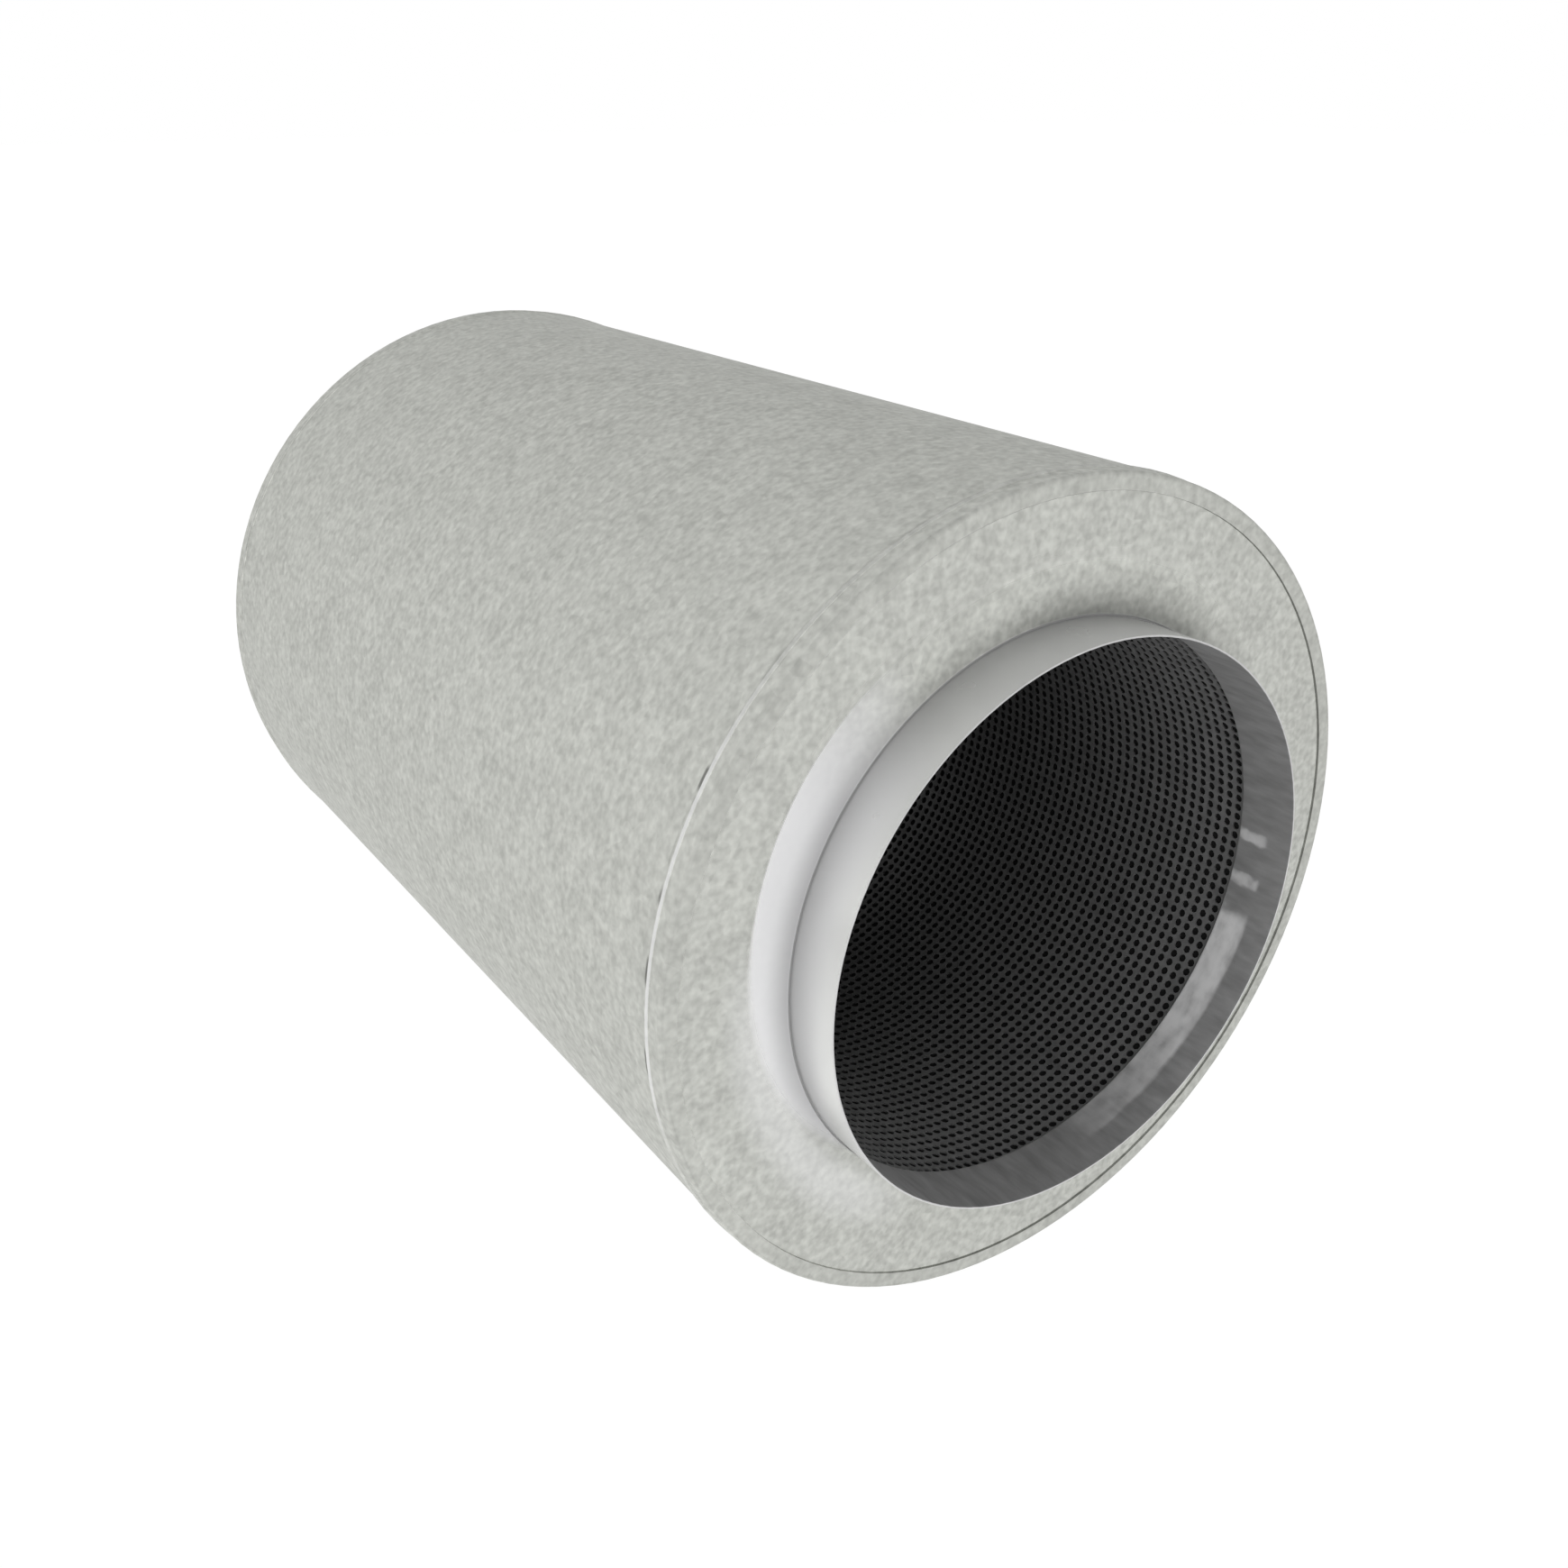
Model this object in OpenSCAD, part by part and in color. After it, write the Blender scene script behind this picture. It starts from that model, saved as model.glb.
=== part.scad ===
// Round duct sound attenuator: a sheet-steel casing with folded-in ends, two end caps,
// two plain spigots and a perforated liner wrapped in fleece and packed with mineral wool.
// The axis runs along Y with the front spigot towards -Y, and the origin is in the middle.

/* [Casing] */
// Outside diameter of the casing
casing_d = 360; // [320:1:420]
// Length of the body over its folded ends
body_l = 500; // [300:5:1000]
// Thickness of the casing sheet
casing_t = 0.6; // [0.5:0.1:1]
// Width of the edge folded in over each end cap
fold_w = 7.2; // [5:0.1:12]
// Outside radius of the fold
fold_r = 1.2; // [1.1:0.1:2]
// Distance from the folded end to the middle of the rolled bead
bead_at = 9.5; // [7:0.1:16]
// Height of the rolled bead over the casing
bead_h = 0.7; // [0.4:0.1:1.2]
// Width of the rolled bead at its foot
bead_w = 2.8; // [2.4:0.1:5]
// Width of the lock seam along the casing
seam_w = 8; // [5:0.5:12]
// Height of the lock seam over the casing
seam_h = 1; // [0.6:0.1:1.5]
// Direction of the lock seam round the axis, from +X towards +Z
seam_angle = -60; // [-180:1:180]

/* [End caps] */
// Thickness of the end cap sheet
cap_t = 0.7; // [0.5:0.1:1.2]
// Outside radius of the bend between the cap's face and its skirt
cap_bend = 1.6; // [1.5:0.1:3]

/* [Spigots] */
// Outside diameter of a spigot
spigot_d = 248.6; // [240:0.1:252]
// Thickness of the spigot sheet
spigot_t = 0.7; // [0.5:0.1:1.2]
// Length of a spigot in front of the end cap's face
spigot_l = 27; // [20:0.5:60]
// Width of the flange turned out behind the end cap
spigot_flange = 9; // [7:0.5:14]
// Inside radius of the spigot's bend, also the room round it in the end cap
spigot_bend = 0.7; // [0.3:0.1:1.2]

/* [Liner] */
// Inside width of the liner across its flats
liner_d = 253.2; // [251:0.1:256]
// Thickness of the liner sheet
liner_t = 0.7; // [0.5:0.1:1]
// Holes round the liner, one to each narrow flat
holes_round = 48; // [24:1:60]
// Distance between rings of holes
hole_pitch = 20.4; // [16:0.2:30]
// Diameter of a hole
hole_d = 10.5; // [6:0.5:12]

/* [Filling] */
// Thickness of the fleece round the liner
fleece_t = 0.8; // [0.5:0.1:2]
// Clearance between round faces that lie against each other
fit_gap = 0.1; // [0.05:0.05:0.3]

/* [Hidden] */
$fn = 120;
// Facets of the small round corners in a sheet's section
corner_fn = 32;
// Overlap that lets joined shapes run into each other
weld = 0.2;

galvanised = [0.73, 0.74, 0.71];
collar_steel = [0.78, 0.79, 0.78];
black_fleece = [0.07, 0.07, 0.07];
stone_wool = [0.55, 0.50, 0.33];

// Radii from the axis outwards
spigot_r = spigot_d / 2;
liner_corner_r = (liner_d / 2 + liner_t) / cos(180 / holes_round);
fleece_in_r = liner_corner_r + fit_gap;
fleece_out_r = fleece_in_r + fleece_t;
wool_in_r = fleece_out_r + fit_gap;
casing_r = casing_d / 2;
casing_in_r = casing_r - casing_t;
cap_r = casing_in_r - fit_gap;
wool_end_r = cap_r - cap_t - fit_gap;

// Places along the axis, from the middle of the body to one end
body_end = body_l / 2;
cap_face = body_end - casing_t;
cap_back = cap_face - cap_t;
flange_back = cap_back - spigot_t;
spigot_end = cap_face + spigot_l;
bead_mid = body_end - bead_at;
skirt_end = bead_mid + bead_w / 2;
wool_full_end = skirt_end - fit_gap;
seam_end = bead_mid - bead_w / 2 - casing_t;

// A solid of revolution about Y from a section drawn in (radius, place along the axis)
module turned() {
  rotate([-90, 0, 0])
    rotate_extrude()
      children();
}

// The same thing at the front end
module at_front() {
  mirror([0, 1, 0])
    children();
}

// A rectangle between two radii and two places along the axis
module strip(r0, r1, y0, y1) {
  translate([r0, y0])
    square([r1 - r0, y1 - y0]);
}

// One quarter of a round sheet bend about a centre, opening towards the given signs
module bend(centre_r, centre_y, out_r, t, side_r, side_y) {
  translate([centre_r, centre_y])
    intersection() {
      difference() {
        circle(r = out_r, $fn = corner_fn);
        circle(r = out_r - t, $fn = corner_fn);
      }
      translate([side_r > 0 ? 0 : -out_r, side_y > 0 ? 0 : -out_r])
        square(out_r);
    }
}

// A tube between two radii, reaching as far both ways from the middle
module sleeve(r0, r1, half_l) {
  turned()
    strip(r0, r1, -half_l, half_l);
}

// Half of the casing's section: wall, rolled bead and folded edge
module casing_half_section() {
  bead_r = (pow(bead_w / 2, 2) + pow(bead_h, 2)) / (2 * bead_h);
  bead_centre = casing_r + bead_h - bead_r;
  strip(casing_r - fold_w, casing_r - fold_r, body_end - casing_t, body_end);
  bend(casing_r - fold_r, body_end - fold_r, fold_r, casing_t, 1, 1);
  difference() {
    union() {
      strip(casing_in_r, casing_r, -weld, body_end - fold_r);
      intersection() {
        translate([bead_centre, bead_mid])
          circle(r = bead_r, $fn = corner_fn);
        strip(casing_in_r, casing_r + bead_h + weld, bead_mid - bead_w, bead_mid + bead_w);
      }
    }
    translate([bead_centre, bead_mid])
      circle(r = bead_r - casing_t, $fn = corner_fn);
  }
}

// The lock seam: a narrow strip of folded sheet along the casing between its beads
module lock_seam() {
  seam_span = 360 * seam_w / (2 * PI * casing_r);
  rotate([90, 0, 0])
    linear_extrude(height = 2 * seam_end, center = true)
      rotate(seam_angle - seam_span / 2)
        intersection() {
          difference() {
            circle(r = casing_r + seam_h);
            circle(r = casing_r - casing_t / 2);
          }
          polygon([[0, 0], [casing_d, 0], casing_d * [cos(seam_span), sin(seam_span)]]);
        }
}

module outer_casing() {
  color(galvanised) {
    turned() {
      casing_half_section();
      mirror([0, 1])
        casing_half_section();
    }
    lock_seam();
  }
}

// Pressed end cap at the rear: flat ring with its skirt turned in as far as the bead
module end_cap() {
  color(galvanised)
    turned() {
      strip(spigot_r + spigot_bend, cap_r - cap_bend, cap_back, cap_face);
      bend(cap_r - cap_bend, cap_face - cap_bend, cap_bend, cap_t, 1, 1);
      strip(cap_r - cap_t, cap_r, skirt_end, cap_face - cap_bend);
    }
}

// Plain collar at the rear, its flange turned out against the back of the end cap
module spigot() {
  bend_mid_r = spigot_r + spigot_bend;
  bend_mid_y = cap_back + spigot_bend;
  color(collar_steel)
    turned() {
      strip(spigot_r - spigot_t, spigot_r, bend_mid_y, spigot_end);
      bend(bend_mid_r, bend_mid_y, spigot_bend + spigot_t, spigot_t, -1, -1);
      strip(bend_mid_r, spigot_r + spigot_flange, flange_back, cap_back);
    }
}

module front_end_cap() {
  at_front()
    end_cap();
}

module rear_end_cap() {
  end_cap();
}

module front_spigot() {
  at_front()
    spigot();
}

module rear_spigot() {
  spigot();
}

// The liner's outline: a rolled sheet drawn as narrow flats, with a hole in the middle of each
module flats(across) {
  corner_r = across / 2 / cos(180 / holes_round);
  polygon([for (i = [0:holes_round - 1])
    corner_r * [cos((i + 0.5) * 360 / holes_round), sin((i + 0.5) * 360 / holes_round)]]);
}

// Perforated sheet tube, butted between the flanges of the two spigots
module perforated_liner() {
  rings = floor((2 * flange_back - hole_d) / hole_pitch);
  color(black_fleece)
    rotate([-90, 0, 0])
      difference() {
        linear_extrude(height = 2 * flange_back, center = true)
          difference() {
            flats(liner_d + 2 * liner_t);
            flats(liner_d);
          }
        for (i = [0:holes_round - 1], j = [0:rings - 1])
          rotate([0, 0, i * 360 / holes_round])
            translate([liner_d / 2 - liner_t, 0, (j - (rings - 1) / 2) * hole_pitch])
              rotate([0, 90, 0])
                cylinder(d = hole_d, h = 3 * liner_t, $fn = corner_fn);
      }
}

module fleece_wrap() {
  color(black_fleece)
    sleeve(fleece_in_r, fleece_out_r, flange_back);
}

// Wound mat of mineral wool, narrower inside the end caps' skirts
module wool_infill() {
  color(stone_wool)
    turned() {
      strip(wool_in_r, wool_end_r, -flange_back, flange_back);
      strip(wool_in_r, cap_r, -wool_full_end, wool_full_end);
    }
}

outer_casing();
front_end_cap();
rear_end_cap();
front_spigot();
rear_spigot();
perforated_liner();
fleece_wrap();
wool_infill();
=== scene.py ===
import math

import bpy
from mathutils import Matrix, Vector


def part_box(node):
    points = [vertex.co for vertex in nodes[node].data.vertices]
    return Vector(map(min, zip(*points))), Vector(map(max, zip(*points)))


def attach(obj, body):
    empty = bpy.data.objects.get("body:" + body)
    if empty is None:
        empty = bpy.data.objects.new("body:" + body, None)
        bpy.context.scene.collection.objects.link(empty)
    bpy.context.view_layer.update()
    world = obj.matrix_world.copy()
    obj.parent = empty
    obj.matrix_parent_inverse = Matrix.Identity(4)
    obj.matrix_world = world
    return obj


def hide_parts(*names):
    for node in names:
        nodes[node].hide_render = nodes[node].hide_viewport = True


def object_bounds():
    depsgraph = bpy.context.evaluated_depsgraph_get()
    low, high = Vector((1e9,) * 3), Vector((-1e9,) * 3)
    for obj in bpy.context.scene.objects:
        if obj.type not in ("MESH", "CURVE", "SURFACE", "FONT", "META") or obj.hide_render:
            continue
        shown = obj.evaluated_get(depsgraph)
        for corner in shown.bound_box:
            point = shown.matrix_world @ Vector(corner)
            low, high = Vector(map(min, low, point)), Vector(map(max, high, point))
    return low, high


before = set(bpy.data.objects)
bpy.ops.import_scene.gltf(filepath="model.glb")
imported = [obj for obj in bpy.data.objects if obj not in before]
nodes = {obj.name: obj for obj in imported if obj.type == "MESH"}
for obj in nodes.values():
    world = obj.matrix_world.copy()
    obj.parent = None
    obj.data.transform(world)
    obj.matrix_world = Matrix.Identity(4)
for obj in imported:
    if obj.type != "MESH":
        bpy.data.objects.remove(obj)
cadLow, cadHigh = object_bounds()
print("frame loaded:", len(nodes), "nodes")


# shader sockets and nodes
class Socket:
    def __init__(self, finish, socket):
        self.finish = finish
        self.socket = socket

    def calc(self, operation, a, b):
        return self.finish.add("ShaderNodeMath", {"operation": operation}, {0: a, 1: b})["Value"]

    def __add__(self, other):
        return self.calc("ADD", self, other)

    def __sub__(self, other):
        return self.calc("SUBTRACT", self, other)

    def __mul__(self, other):
        return self.calc("MULTIPLY", self, other)

    def __truediv__(self, other):
        return self.calc("DIVIDE", self, other)

    def __radd__(self, other):
        return self.calc("ADD", other, self)

    def __rsub__(self, other):
        return self.calc("SUBTRACT", other, self)

    def __rmul__(self, other):
        return self.calc("MULTIPLY", other, self)

    def __rtruediv__(self, other):
        return self.calc("DIVIDE", other, self)


class Finish:
    # a node tree with one way of adding a node to it
    def __init__(self, tree):
        self.tree = tree

    def feed(self, socket, value):
        if isinstance(value, Socket):
            self.tree.links.new(value.socket, socket)
        else:
            socket.default_value = value

    def add(self, kind, settings, sockets):
        node = self.tree.nodes.new(kind)
        for name, value in settings.items():
            setattr(node, name, value)
        for name, value in sockets.items():
            self.feed(node.inputs[name], value)
        return {out.name: Socket(self, out) for out in node.outputs if out.enabled}

    def place(self):
        return self.add("ShaderNodeTexCoord", {}, {})["Object"]

    def axes(self, vector):
        return self.add("ShaderNodeSeparateXYZ", {}, {"Vector": vector})

    def noise(self, place, scale, detail, seed):
        return self.add("ShaderNodeTexNoise", {"noise_dimensions": "4D"},
                        {"Vector": place, "Scale": scale, "Detail": detail, "W": seed})["Fac"]

    def rise(self, value, start, end):
        # 0 at start, 1 at end, eased between
        return self.add("ShaderNodeMapRange", {"interpolation_type": "SMOOTHSTEP"},
                        {"Value": value, "From Min": start, "From Max": end})["Result"]

    def dot(self, vector, axis):
        return self.add("ShaderNodeVectorMath", {"operation": "DOT_PRODUCT"},
                        {0: vector, 1: axis})["Value"]

    def scale(self, vector, shares):
        return self.add("ShaderNodeVectorMath", {"operation": "MULTIPLY"},
                        {0: vector, 1: shares})["Vector"]

    def size(self, value):
        return self.add("ShaderNodeMath", {"operation": "ABSOLUTE"}, {0: value})["Value"]

    def radius(self, place):
        # distance from the duct's axis
        across = self.scale(place, (1, 0, 1))
        return self.add("ShaderNodeVectorMath", {"operation": "LENGTH"}, {0: across})["Value"]

    def along(self, place):
        # distance from the middle of the body along the axis
        return self.size(self.axes(place)["Y"])

    def facing(self, place, side, start, end):
        # 1 where a place lies on that side of the duct's axis
        return self.rise(self.dot(place, side) / self.radius(place), start, end)

    def toward(self, colour, other, share):
        mixed = self.add("ShaderNodeMix", {"data_type": "RGBA"}, {0: share, 6: colour, 7: (*other, 1)})
        return mixed["Result"]

    def tint(self, low, high, share):
        return self.toward((*low, 1), high, share)

    def blend(self, share, first, second):
        return self.add("ShaderNodeMixShader", {}, {0: share, 1: first, 2: second})["Shader"]


def newFinish(name):
    material = bpy.data.materials.new(name)
    material.use_nodes = True
    return material, Finish(material.node_tree)


def principled(finish):
    return finish.tree.nodes["Principled BSDF"].inputs


def about(middle, offsets):
    return [middle + offset for offset in offsets]


# hot-dip galvanised sheet: soft grey blotches with faint crystal cells
zincLook = {
    "dark": (0.44, 0.447, 0.418),
    "light": (0.63, 0.64, 0.60),
    "blotch": 300.0,           # blotches per metre
    "blotchContrast": 2.0,
    "cloud": 0.15,             # scale of the wider clouds, as a share of the blotches'
    "cloudContrast": 0.5,
    "cells": 190.0,            # crystals per metre
    "cellContrast": 0.3,
    "metal": 0.4,
    "roughness": 0.2,
    "roughSpread": 0.06,       # over the blotches
    "dullRoughness": 0.7,      # where it is dulled
    "edge": 0.5,               # keeps the sheet from paling where it turns away
    "pale": (0.9, 0.9, 0.91),  # where it is painted pale: painted highlights and reflections, and the sealed edge round the spigot
}
casingLook = dict(zincLook, blotchContrast=1.75, edge=0.7, roughness=0.38)
capLook = dict(zincLook, metal=0.75, roughness=0.1)


def zincFinish(name, look, seed, marks):
    material, finish = newFinish(name)
    place = finish.place()
    blotch = finish.noise(place, look["blotch"], 1.0, seed) - 0.5
    cloud = finish.noise(place, look["blotch"] * look["cloud"], 2.0, seed + 3) - 0.5
    cell = finish.add("ShaderNodeTexVoronoi", {"feature": "F1"}, {"Vector": place, "Scale": look["cells"]})
    crystal = finish.add("ShaderNodeSeparateColor", {}, {"Color": cell["Color"]})["Red"] - 0.5
    share = 0.5 + blotch * look["blotchContrast"] + cloud * look["cloudContrast"] + \
        crystal * look["cellContrast"]
    roughness = look["roughness"] + blotch * look["roughSpread"]
    dark, dull, pale = marks(finish, place)
    tone = finish.toward(finish.tint(look["dark"], look["light"], share), look["pale"], pale)
    bsdf = principled(finish)
    finish.feed(bsdf["Base Color"], finish.scale(tone, 1 - dark))
    finish.feed(bsdf["Roughness"], roughness + dull * (look["dullRoughness"] - roughness))
    finish.feed(bsdf["Metallic"], look["metal"] * (1 - dull))
    bsdf["Specular Tint"].default_value = (look["edge"], look["edge"], look["edge"], 1)
    bsdf["Specular IOR Level"].default_value = 0.0
    return material


# casing ends: zinc dulled along the fold, a raw cut edge, a painted highlight on the bead's front and a
# painted shadow behind it
foldLook = {
    "bodyEnd": 0.25,
    "casingRadius": 0.18,
    "bend": 0.0012,
    "bendSoft": (-0.0006, 0),
    "cutRadius": 0.1728,
    "cutSoft": (0.0001, 0),
    "cutDark": 0.5,
    "cutClean": (-1, 0, 0),           # side on which the cut edge is clean
    "cutCleanSpread": (0.2, 0.6),
    "bead": 0.2405,                   # place along the axis
    "beadRise": (0.00005, 0.0002),    # height over the casing at which it begins
    "beadReach": (-0.003, -0.002),    # from its middle
    "beadFront": (-0.0002, 0.0003),
    "beadDull": 0.85,
    "beadHighlight": 0.55,
    # painted shadow just behind the bead, in broken dashes
    "beadShadowDark": 0.62,
    "beadShadowReach": (-0.0027, -0.0019),  # from the bead's middle
    "beadShadowBreaks": 50.0,               # per metre
    "beadShadowSpread": (0.5, 0.6),
    "beadShadowFront": (-0.1, 0.1),         # from the rear half to the front half
    "beadShadowRear": 0.3,                  # share of the painted shadow at the rear end
    "fadeSide": (0, 0, 1),            # the bead's painted highlight and shadow fade out above
    "fadeTop": (0.5, 0.8),
    "fadeLow": (-0.09, -0.29),        # and below
    "fadeShare": 0.8,
}


def casingMarks(finish, place):
    look = foldLook
    radius = finish.radius(place)
    along = finish.along(place)
    bend = finish.rise(along, *about(look["bodyEnd"] - look["bend"], look["bendSoft"])) * \
        finish.rise(radius, *about(look["casingRadius"] - look["bend"], look["bendSoft"]))
    clean = finish.facing(place, look["cutClean"], *look["cutCleanSpread"])
    cut = finish.rise(radius, *about(look["cutRadius"], look["cutSoft"])) * (1 - clean)
    bead = finish.rise(radius, *about(look["casingRadius"], look["beadRise"])) * \
        finish.rise(along, *about(look["bead"], look["beadReach"]))
    front = finish.rise(along, *about(look["bead"], look["beadFront"]))
    # where the bead's painted highlight and shadow are kept: they fade out above and below
    left = 1 - look["fadeShare"] * (finish.facing(place, look["fadeSide"], *look["fadeTop"]) +
                                    finish.facing(place, look["fadeSide"], *look["fadeLow"]))
    nearFront = finish.rise(finish.dot(place, (0, -1, 0)), *look["beadShadowFront"])
    breaks = finish.rise(finish.noise(place, look["beadShadowBreaks"], 1.0, 13.0), *look["beadShadowSpread"])
    # painted shadow just behind the bead
    beadShadow = finish.rise(along, *about(look["bead"], look["beadShadowReach"])) * (1 - front) * breaks * left
    beadShadow = beadShadow * (look["beadShadowRear"] + (1 - look["beadShadowRear"]) * nearFront)
    dark = look["cutDark"] * cut + look["beadShadowDark"] * beadShadow
    dull = bend + look["beadDull"] * bead
    # painted highlight on the bead's front
    pale = look["beadHighlight"] * bead * front * left
    return dark, dull, pale


# end caps: a painted reflection of the spigot, a pale crescent beside its foot with a softer patch below it;
# painted shade at the foot and above the spigot, and duller sheet above, its colour lifted as painted light
capPaintedLightLook = {
    "reach": (0.1215, 0.0265),        # outer radius of the crescent, and what its widest side adds
    "widest": (-0.711, 0, 0.703),
    "side": (-0.996, 0, 0.087),
    "spread": (0.55, 0.9),
    "edge": (0.0012, 0.005),          # softness of its outer edge, and what its ends add
    "edgeSpread": (-0.6, 0.4),
    "lowEnd": (0.7, 1.0),
    "topEnd": (0.65, 0.95),
    # paling of the painted reflection
    "pale": 0.92,
    "dull": 0.5,
    "foot": (0.1373, 0.1243),         # radii between which the sheet darkens towards the spigot, as painted shade
    "footShade": 0.28,
    "halo": (0.1243, 0.137),          # radii over which the softer patch of painted reflection begins
    "haloEnd": (0.158, 0.141),        # and ends
    "haloSide": (-0.906, 0, -0.423),
    "haloSpread": (0.75, 0.95),
    "haloPale": 0.35,
    "joint": (0.1257, 0.1252),        # sealed edge round the spigot
    "jointPale": 0.2,
    "top": (0.152, 0.140),            # duller sheet above the spigot, its colour lifted as painted light
    "topSide": (-0.087, 0, 0.996),
    "topSpread": (0.6, 0.85),
    "topDull": 0.8,
    "topPaintedLight": 0.28,
    # painted shadow above the spigot
    "darkAbove": (0.147, 0.124),
    "darkAboveSide": (0.375, 0, 0.927),
    "darkAboveSpread": (0.8, 0.97),
    "darkAboveShare": 0.35,
}


def capMarks(finish, place):
    look = capPaintedLightLook
    radius = finish.radius(place)
    even, extra = look["reach"]
    reach = even + extra * (finish.dot(place, look["widest"]) / radius)
    crisp, soft = look["edge"]
    ends = finish.facing(place, look["haloSide"], *look["lowEnd"]) + \
        finish.facing(place, look["darkAboveSide"], *look["topEnd"])
    side = finish.facing(place, look["side"], *look["spread"])
    # the crescent is a painted reflection of the spigot in the cap, softer at its ends
    crescent = side * finish.rise((reach - radius) / (crisp + soft * ends), *look["edgeSpread"])
    halo = finish.rise(radius, *look["halo"]) * finish.rise(radius, *look["haloEnd"]) * \
        finish.facing(place, look["haloSide"], *look["haloSpread"]) * (1 - crescent)
    joint = finish.rise(radius, *look["joint"])
    # painted shadow on the cap above the spigot
    darkAbove = finish.rise(radius, *look["darkAbove"]) * \
        finish.facing(place, look["darkAboveSide"], *look["darkAboveSpread"])
    top = finish.rise(radius, *look["top"]) * (1 - crescent) * \
        finish.facing(place, look["topSide"], *look["topSpread"])
    # painted shade at the spigot's foot
    foot = (side + top * (1 - side)) * finish.rise(radius, *look["foot"])
    # painted shade at the foot and above the spigot, less the painted light lifting the sheet above it
    dark = look["darkAboveShare"] * darkAbove + look["footShade"] * foot - look["topPaintedLight"] * top
    dull = finish.rise(look["dull"] * crescent + look["topDull"] * top + joint, 0.0, 1.0)
    pale = look["pale"] * crescent + look["haloPale"] * halo + look["jointPale"] * joint
    return dark, dull, pale


# rolled spigot sheet: smooth outside, darker towards the cap as painted shade and darker on top towards the
# rim,
# dull inside with a painted reflection: a pale patch and short strokes beside it
collarLook = {
    "base": 0.48,                      # grey at the cap, darker there as painted shade
    "rim": 0.71,                       # and at the rim
    "inside": 0.56,
    "capFace": 0.2494,
    "length": 0.027,
    "lengthSpread": (-0.1, 1.0),       # shares of the length over which the grey changes
    "wall": 0.12395,                   # middle of the sheet
    "wallSoft": (-0.0001, 0.0001),
    "metal": 0.4,
    "insideMetal": 0.6,
    "reflectionPatchMetal": 0.8,                 # share of it lost in the painted reflection
    "roughness": 0.26,
    "insideRough": 0.12,               # added inside
    "reflectionPatchRough": 0.3,                 # and in the painted reflection
    "grain": 60.0,                     # per metre
    "grainTone": 0.03,
    "grainRough": 0.08,
    "darkAboveSide": (0.174, 0, 0.985),
    "darkAboveSpread": (0.2, 0.6),
    "darkAboveShare": 0.17,                  # darker on top towards the rim
    # tone of the painted reflection inside
    "reflectionPatch": 0.86,
    "patch": (198.0, 256.0),           # degrees from the left over the top, of the painted reflection patch
    "patchSoft": (3.0, -3.0),
    "patchFading": (212.5, 256.0),     # it fades towards its last end
    "patchFade": 0.7,
    "patchDepth": (0.2652, 0.2622),
    "bars": (177.5, 197.5),            # degrees, of the short strokes of painted reflection
    "barSoft": (0.5, 0),
    "barPitch": 10.0,
    "barSpread": (0.45, 1.0),
    "barShare": 0.7,
    "ragged": 160.0,                   # per metre, along the edges of patch and strokes
    "raggedPatch": 8.0,                # degrees
    "raggedBar": 1.2,
    "raggedDepth": 0.0008,
    "streaks": (110, 200, 110),        # in the painted reflection patch
    "streakSpread": (0.05, 0.7),
    "smears": (240, 60, 240),          # uneven tone inside, in streaks along the axis
    "smearTone": 0.5,
    "joint": (0.2496, 0.2490),         # gap at the cap, made a plain matt grey as painted light against its shade
    "jointTone": 0.5,
}


# a painted reflection inside the spigot: a pale patch and short strokes beside it
def reflectionPatchMarks(finish, place, along, look):
    axes = finish.axes(place)
    turn = finish.add("ShaderNodeMath", {"operation": "ARCTAN2"}, {0: 0 - axes["Z"], 1: axes["X"]})["Value"]
    degrees = 180 + turn * (180 / math.pi)
    ragged = finish.noise(place, look["ragged"], 2.0, 4.0) - 0.5

    def sector(span, soft, shift):
        first, last = span
        offset = finish.size(degrees - (first + last) / 2) + shift
        return finish.rise(offset, *about((last - first) / 2, soft))

    patch = sector(look["patch"], look["patchSoft"], ragged * look["raggedPatch"])
    patch = patch * (1 - look["patchFade"] * finish.rise(degrees, *look["patchFading"]))
    swing = finish.add("ShaderNodeMath", {"operation": "SINE"},
                       {0: (degrees - look["bars"][0]) * (2 * math.pi / look["barPitch"])})["Value"]
    bars = sector(look["bars"], look["barSoft"], 0.0) * \
        finish.rise(swing + ragged * look["raggedBar"], *look["barSpread"])
    depth = finish.rise(along + ragged * look["raggedDepth"], *look["patchDepth"])
    streak = finish.noise(finish.scale(place, look["streaks"]), 1.0, 3.0, 8.0)
    return (patch + bars * look["barShare"]) * depth * finish.rise(streak, *look["streakSpread"])


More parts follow.
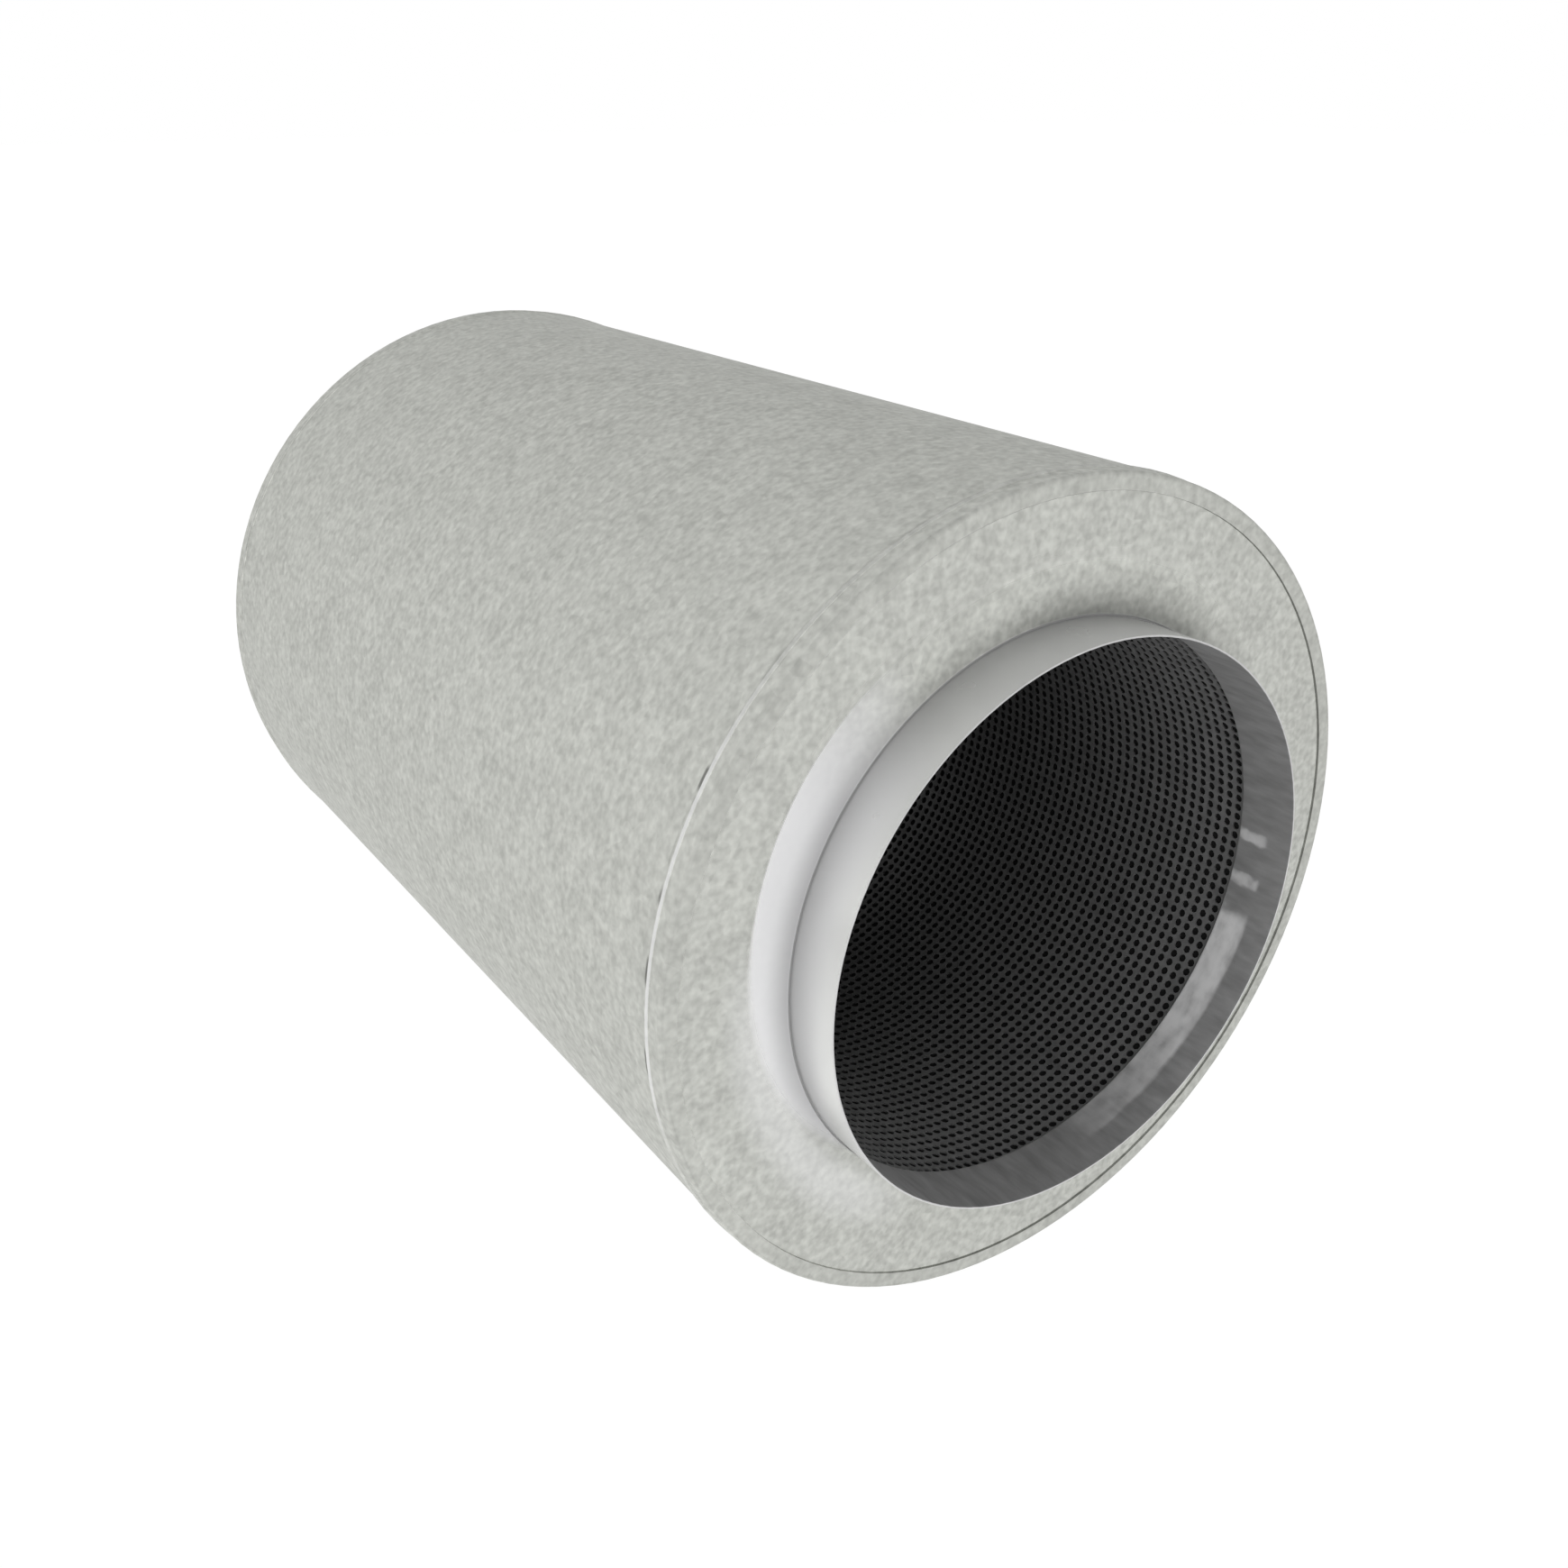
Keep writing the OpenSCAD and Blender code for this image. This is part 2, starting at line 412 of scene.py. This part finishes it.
def collarFinish(name, look):
    material, finish = newFinish(name)
    place = finish.place()
    along = finish.along(place)
    height = finish.rise((along - look["capFace"]) / look["length"], *look["lengthSpread"])
    outside = finish.rise(finish.radius(place), *about(look["wall"], look["wallSoft"]))
    grain = finish.noise(place, look["grain"], 2.0, 11.0) - 0.5
    darkAbove = finish.facing(place, look["darkAboveSide"], *look["darkAboveSpread"])
    # painted shade: darker towards the cap; also darker on top towards the rim
    outer = look["base"] + height * (look["rim"] - look["base"])
    outer = outer * (1 - look["darkAboveShare"] * height * darkAbove)
    # painted reflection inside the spigot
    reflectionPatch = reflectionPatchMarks(finish, place, along, look)
    smear = finish.noise(finish.scale(place, look["smears"]), 1.0, 3.0, 6.0) - 0.5
    inner = look["inside"] + reflectionPatch * (look["reflectionPatch"] - look["inside"])
    inner = inner + smear * look["smearTone"] * (1 - reflectionPatch)
    tone = inner + outside * (outer - inner) + grain * look["grainTone"]
    # painted light in the gap at the cap: plain matt grey against its shade
    joint = outside * finish.rise(along, *look["joint"])
    tone = tone + joint * (look["jointTone"] - tone)
    roughness = look["roughness"] + grain * look["grainRough"]
    roughness = roughness + (1 - outside) * (look["insideRough"] + reflectionPatch * look["reflectionPatchRough"])
    insideMetal = look["insideMetal"] * (1 - reflectionPatch * look["reflectionPatchMetal"])
    metal = insideMetal + outside * (look["metal"] - insideMetal)
    bsdf = principled(finish)
    finish.feed(bsdf["Base Color"], finish.tint((0, 0, 0), (1, 1, 1), tone))
    finish.feed(bsdf["Roughness"], roughness)
    finish.feed(bsdf["Metallic"], metal * (1 - joint))
    return material


# black fleece behind the holes
fleeceLook = {
    "dark": (0.006, 0.006, 0.006),
    "light": (0.022, 0.022, 0.022),
    "fibres": 900.0,    # per metre
    "detail": 3.0,
    "seed": 5.0,
    "bump": 0.4,
    "depth": 0.0003,
    "roughness": 0.95,
    "shine": 0.1,
}

# mineral wool mat
woolLook = {
    "dark": (0.25, 0.20, 0.10),
    "light": (0.55, 0.48, 0.28),
    "fibres": 90.0,     # tufts per metre
    "detail": 6.0,
    "seed": 2.0,
    "bump": 0.8,
    "depth": 0.002,
    "roughness": 1.0,
    "shine": 0.0,
}


def fibreFinish(name, look):
    material, finish = newFinish(name)
    fibres = finish.noise(finish.place(), look["fibres"], look["detail"], look["seed"])
    bump = finish.add("ShaderNodeBump", {},
                      {"Strength": look["bump"], "Distance": look["depth"], "Height": fibres})
    bsdf = principled(finish)
    finish.feed(bsdf["Base Color"], finish.tint(look["dark"], look["light"], fibres))
    finish.feed(bsdf["Normal"], bump["Normal"])
    bsdf["Roughness"].default_value = look["roughness"]
    bsdf["Specular IOR Level"].default_value = look["shine"]
    return material


def dress(names, material):
    for name in names:
        node = nodes[name]
        node.data.materials.clear()
        node.data.materials.append(material)


dress(["outer_casing"], zincFinish("casingSheet", casingLook, 0.0, casingMarks))
dress(["front_end_cap", "rear_end_cap"], zincFinish("capSheet", capLook, 5.0, capMarks))
dress(["front_spigot", "rear_spigot"], collarFinish("collarSheet", collarLook))
dress(["fleece_wrap"], fibreFinish("blackFleece", fleeceLook))
dress(["wool_infill"], fibreFinish("mineralWool", woolLook))
print("finishes made")


# perforated liner: the sheet's own fine grid of round holes, in lengths along the tube
linerShape = {
    "columns": 170,         # holes round the tube
    "rowPitch": 0.0053,     # between rings of holes
    "holeRadius": 0.00188,
    "sheet": 0.0007,
    "holeSides": 8,
    "lengths": 4,           # pieces that the tube is made in
}
linerLook = dict(zincLook, dark=(0.272, 0.272, 0.272), light=(0.362, 0.362, 0.362), blotch=210.0,
                 cells=150.0, metal=0.5, roughness=0.3, edge=0.6)
boreShadeLook = {
    "reach": (0.235, 0.06),  # painted shade, darker towards the middle of the tube
    "dark": 0.6,
}


def linerMarks(finish, place):
    # painted shade deep in the bore
    boreShade = finish.rise(finish.along(place), *boreShadeLook["reach"])
    return boreShadeLook["dark"] * boreShade, 0.0, 0.0


def makeLinerLength(name, shape, innerRadius, firstRing, rings, startY):
    columns = shape["columns"]
    sides = shape["holeSides"]
    step = 2 * math.pi / columns
    outerRadius = innerRadius + shape["sheet"]
    turns = [2 * math.pi * (k + 0.5) / sides for k in range(sides)]
    points = []
    faces = []

    def corner(column, ring, radius):
        angle = (column - 0.5) * step
        y = startY + (firstRing + ring) * shape["rowPitch"]
        points.append((radius * math.cos(angle), y, radius * math.sin(angle)))

    def rim(column, ring, radius):
        middleY = startY + (firstRing + ring + 0.5) * shape["rowPitch"]
        for turn in turns:
            angle = column * step + shape["holeRadius"] * math.cos(turn) / innerRadius
            y = middleY + shape["holeRadius"] * math.sin(turn)
            points.append((radius * math.cos(angle), y, radius * math.sin(angle)))

    for radius in (innerRadius, outerRadius):
        for ring in range(rings + 1):
            for column in range(columns):
                corner(column, ring, radius)
    perSkin = (rings + 1) * columns
    firstRim = 2 * perSkin
    for radius in (innerRadius, outerRadius):
        for ring in range(rings):
            for column in range(columns):
                rim(column, ring, radius)
    perRims = rings * columns * sides

    def cornerAt(skin, column, ring):
        return skin * perSkin + ring * columns + column % columns

    def rimAt(skin, column, ring, k):
        return firstRim + skin * perRims + (ring * columns + column) * sides + k % sides

    # the unrolled sheet: inner skin, outer skin, hole walls and cut ends lie above each other
    flat = []
    sheetHeight = 0.3
    sheetBase = (0.01, 0.34)
    wallBase = 0.67
    endBase = (0.975, 0.988)
    endHeight = 0.7
    cornerSpot = [(0.5, 1), (-0.5, 1), (-0.5, 0), (0.5, 0)]
    endSpot = [(-0.5, 0), (0.5, 0), (0.5, endHeight), (-0.5, endHeight)]
    holeWidth = shape["holeRadius"] / (innerRadius * step)
    holeHeight = shape["holeRadius"] / shape["rowPitch"]
    rimSpot = [(holeWidth * math.cos(turn), 0.5 + holeHeight * math.sin(turn)) for turn in turns]
    lipSpot = [(0.5 * x, 0.25 + 0.5 * y) for x, y in rimSpot]

    def addFace(face, spots, base, column, ring, flip):
        lay = [((column + 0.5 + x) / columns, base + sheetHeight * (ring + y) / rings) for x, y in spots]
        faces.append(face[::-1] if flip else face)
        for u, v in (lay[::-1] if flip else lay):
            flat.extend((u, v))

    # each cell joins its four corners to the eight sides of its hole
    for ring in range(rings):
        for column in range(columns):
            for skin in (0, 1):
                around = [cornerAt(skin, column + 1, ring + 1), cornerAt(skin, column, ring + 1),
                          cornerAt(skin, column, ring), cornerAt(skin, column + 1, ring)]
                for quarter in range(4):
                    following = (quarter + 1) % 4
                    sideNumbers = [(2 * quarter + i) % sides for i in range(3)]
                    hole = [rimAt(skin, column, ring, k) for k in sideNumbers]
                    spots = [rimSpot[k] for k in sideNumbers]
                    addFace([around[quarter], hole[1], hole[0]],
                            [cornerSpot[quarter], spots[1], spots[0]],
                            sheetBase[skin], column, ring, skin == 0)
                    addFace([around[quarter], around[following], hole[2], hole[1]],
                            [cornerSpot[quarter], cornerSpot[following], spots[2], spots[1]],
                            sheetBase[skin], column, ring, skin == 0)
            for k in range(sides):
                after = (k + 1) % sides
                addFace([rimAt(0, column, ring, k), rimAt(0, column, ring, after),
                         rimAt(1, column, ring, after), rimAt(1, column, ring, k)],
                        [rimSpot[k], rimSpot[after], lipSpot[after], lipSpot[k]],
                        wallBase, column, ring, False)
    # the cut ends
    for number, ring in enumerate((0, rings)):
        for column in range(columns):
            addFace([cornerAt(0, column, ring), cornerAt(0, column + 1, ring),
                     cornerAt(1, column + 1, ring), cornerAt(1, column, ring)],
                    endSpot, endBase[number], column, 0, ring == rings)
    mesh = bpy.data.meshes.new(name)
    mesh.from_pydata(points, [], faces)
    mesh.update()
    mesh.uv_layers.new(name="OFBake").data.foreach_set("uv", flat)
    piece = bpy.data.objects.new(name, mesh)
    bpy.context.scene.collection.objects.link(piece)
    return piece


linerLow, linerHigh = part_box("perforated_liner")
linerZinc = zincFinish("perforatedSheet", linerLook, 7.0, linerMarks)
linerInner = linerHigh.z - linerShape["sheet"]
ringsInAll = int((linerHigh.y - linerLow.y) / linerShape["rowPitch"])
linerStart = linerLow.y + 0.5 * (linerHigh.y - linerLow.y - ringsInAll * linerShape["rowPitch"])
ringsDone = 0
for part in range(linerShape["lengths"]):
    ringsHere = round(ringsInAll * (part + 1) / linerShape["lengths"]) - ringsDone
    length = makeLinerLength("linerLength%d" % (part + 1), linerShape, linerInner,
                             ringsDone, ringsHere, linerStart)
    length.data.materials.append(linerZinc)
    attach(length, "root")
    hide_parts("perforated_liner")
    ringsDone += ringsHere
print("liner made:", ringsInAll, "rings of", linerShape["columns"], "holes")


# floor, light and camera
studio = {
    "floorHalf": 12.0,
    "floorGrey": 0.9,
    "floorWhite": 0.9,            # share of plain white in the floor, the rest takes the shadow
    "floorLevel": 1.06,
    "glowLevel": 2.1,             # brightest strip of the floor, as the metal shows it
    "glowAlong": (-0.71, -0.70),  # it runs from the object past the camera
    "glowStart": (0.295, 0.37),
    "glowMiddle": 0.12,
    "glowSides": (0.09, 0.045),
    "glowSpread": 0.8,            # widening with distance
    "softShare": 0.3,             # share of the strip in the even light
    "skySeen": 1.0,               # backdrop as the camera sees it
    "skyLevel": 0.66,             # even light of the backdrop
    "frontLeft": 2.2,             # backdrop as the metal shows it, beside the camera
    "frontRight": 1.0,
    "lowLeft": 2.2,               # close over the floor
    "lowHeight": (0.45, 0.1),
    "lowAcross": (-0.3, -0.6),
    "aheadHeight": (0.5, 0.25),   # straight ahead it is as dim as on the right
    "aheadAcross": (-0.5, -0.2),
    "backLeft": 1.12,             # behind the object
    "backRight": 0.9,
    "backStart": (-0.4, 0.1),
    "skyAcross": 0.75,            # where left and right are full
    "keyPower": 8.5,
    "keyPlace": (-2.0, -0.3, 0.1),
    "keyAim": (0, -0.1, 0),
    "keySize": 1.4,
}


def seenInMetal(rays):
    return rays["Is Glossy Ray"] + rays["Is Transmission Ray"]


def makeFloor(z):
    half = studio["floorHalf"]
    mesh = bpy.data.meshes.new("floor")
    corners = [(-half, -half, z), (half, -half, z), (half, half, z), (-half, half, z)]
    mesh.from_pydata(corners, [], [(0, 1, 2, 3)])
    floor = bpy.data.objects.new("floor", mesh)
    bpy.context.scene.collection.objects.link(floor)
    material, finish = newFinish("whiteFloor")
    bsdf = principled(finish)
    grey = studio["floorGrey"]
    bsdf["Base Color"].default_value = (grey, grey, grey, 1)
    bsdf["Roughness"].default_value = 1.0
    bsdf["Specular IOR Level"].default_value = 0.0
    place = finish.place()
    runX, runY = studio["glowAlong"]
    along = finish.dot(place, (runX, runY, 0))
    aside = finish.size(finish.dot(place, (-runY, runX, 0)) - studio["glowMiddle"])
    aside = aside / (1 + along * studio["glowSpread"])
    glow = finish.rise(along, *studio["glowStart"]) * finish.rise(aside, *studio["glowSides"])
    metal = seenInMetal(finish.add("ShaderNodeLightPath", {}, {}))
    glow = glow * (studio["softShare"] + metal * (1 - studio["softShare"]))
    white = finish.add("ShaderNodeEmission", {}, {"Strength": studio["floorLevel"]})["Emission"]
    bright = finish.add("ShaderNodeEmission", {}, {"Strength": studio["glowLevel"]})["Emission"]
    lit = Socket(finish, finish.tree.nodes["Principled BSDF"].outputs["BSDF"])
    mixed = finish.blend(studio["floorWhite"], lit, finish.blend(glow, white, bright))
    finish.feed(finish.tree.nodes["Material Output"].inputs["Surface"], mixed)
    mesh.materials.append(material)


def makeSky():
    world = bpy.data.worlds.new("studioSky")
    bpy.context.scene.world = world
    world.use_nodes = True
    finish = Finish(world.node_tree)

    def backdrop(name):
        return finish.add("ShaderNodeBackground", {},
                          {"Color": (1, 1, 1, 1), "Strength": studio[name]})["Background"]

    axes = finish.axes(finish.add("ShaderNodeTexCoord", {}, {})["Generated"])
    right = axes["X"] / (2 * studio["skyAcross"]) + 0.5
    low = finish.rise(axes["Z"], *studio["lowHeight"]) * finish.rise(axes["X"], *studio["lowAcross"])
    ahead = finish.rise(axes["Z"], *studio["aheadHeight"]) * finish.rise(axes["X"], *studio["aheadAcross"])
    front = finish.blend(right, backdrop("frontLeft"), backdrop("frontRight"))
    front = finish.blend(ahead, front, backdrop("frontRight"))
    front = finish.blend(low, front, backdrop("lowLeft"))
    back = finish.blend(right, backdrop("backLeft"), backdrop("backRight"))
    shown = finish.blend(finish.rise(axes["Y"], *studio["backStart"]), front, back)
    rays = finish.add("ShaderNodeLightPath", {}, {})
    sky = finish.blend(seenInMetal(rays), backdrop("skyLevel"), shown)
    sky = finish.blend(rays["Is Camera Ray"], sky, backdrop("skySeen"))
    finish.feed(world.node_tree.nodes["World Output"].inputs["Surface"], sky)


def makeLamp(name, place, aim, size, power):
    lamp = bpy.data.lights.new(name, "AREA")
    lamp.shape = "SQUARE"
    lamp.size = size
    lamp.energy = power
    holder = bpy.data.objects.new(name, lamp)
    bpy.context.scene.collection.objects.link(holder)
    holder.location = place
    holder.rotation_mode = "QUATERNION"
    holder.rotation_quaternion = (Vector(aim) - Vector(place)).to_track_quat("-Z", "Y")
    holder.visible_camera = False


cameraView = {
    "place": (-0.39596, -0.64501, 0.31351),
    "heading": 34.231,       # degrees from +Y towards +X
    "pitch": -25.058,
    "lens": 35.174,
    "sensor": 36.0,
    "nearest": 0.01,
}


def makeCamera():
    data = bpy.data.cameras.new("photoCamera")
    data.lens = cameraView["lens"]
    data.sensor_width = cameraView["sensor"]
    data.clip_start = cameraView["nearest"]
    holder = bpy.data.objects.new("photoCamera", data)
    bpy.context.scene.collection.objects.link(holder)
    holder.location = cameraView["place"]
    holder.rotation_euler = (math.radians(90 + cameraView["pitch"]), 0, -math.radians(cameraView["heading"]))
    bpy.context.scene.camera = holder


makeFloor(cadLow.z)
makeSky()
makeLamp("keyLamp", studio["keyPlace"], studio["keyAim"], studio["keySize"], studio["keyPower"])
makeCamera()
bpy.context.scene.view_settings.view_transform = "Standard"
print("studio made")
